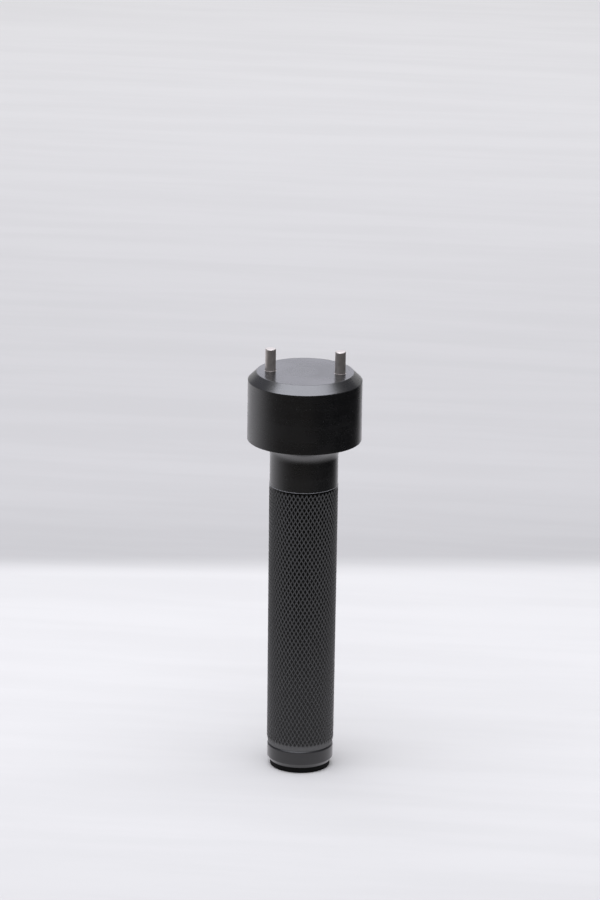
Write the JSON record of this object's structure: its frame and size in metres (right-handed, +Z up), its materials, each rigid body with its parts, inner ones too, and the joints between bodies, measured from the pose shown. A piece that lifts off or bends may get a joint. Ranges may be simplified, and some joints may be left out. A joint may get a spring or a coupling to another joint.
{
  "type": "two-pin face spanner",
  "caption": "Two-pin face spanner: a thick round head with two parallel drive pins on a straight hollow knurled handle that stands on a screw-in end cap with a rubber foot.",
  "frame": {"origin": "centre of the rubber foot on the surface it stands on", "axes": "+Z up the handle to the drive pins, which stand on the X axis"},
  "size_m": [0.0344, 0.0344, 0.1317],
  "materials": {
    "head_anodised": "black anodised, fine turning marks, satin",
    "grip_anodised": "black anodised over a fine diamond knurl",
    "cap_anodised": "black anodised, satin",
    "drive_pin_steel": "ground hardened steel, satin",
    "dowel_steel": "ground hardened steel",
    "screw_steel": "black oxide",
    "washer_steel": "plain spring steel",
    "seal_rubber": "smooth nitrile rubber",
    "foot_rubber": "matt black rubber"
  },
  "bodies": {
    "cap": {"end_cap": "cap_anodised", "foot_pad": "foot_rubber"},
    "seal": {"cap_seal_ring": "seal_rubber"},
    "handle": {"grip_tube": "grip_anodised", "head": "head_anodised", "left_drive_pin": "drive_pin_steel", "right_drive_pin": "drive_pin_steel", "left_torque_dowel": "dowel_steel", "right_torque_dowel": "dowel_steel", "clamp_screw": "screw_steel", "lock_washer": "washer_steel"}
  },
  "joints": [
    {"name": "cap_turn", "type": "hinge", "parent": "cap", "child": "seal", "pos_m": [0, 0, 0.0087], "axis": [0, 0, 1], "range_deg": [0, 2880]},
    {"name": "cap_travel", "type": "slide", "parent": "seal", "child": "handle", "axis": [0, 0, 1], "range_m": [0, 0.012]}
  ],
  "couplings": [
    {"joint": "cap_turn", "follows": "cap_travel", "rad_per_m": 4188.8}
  ]
}
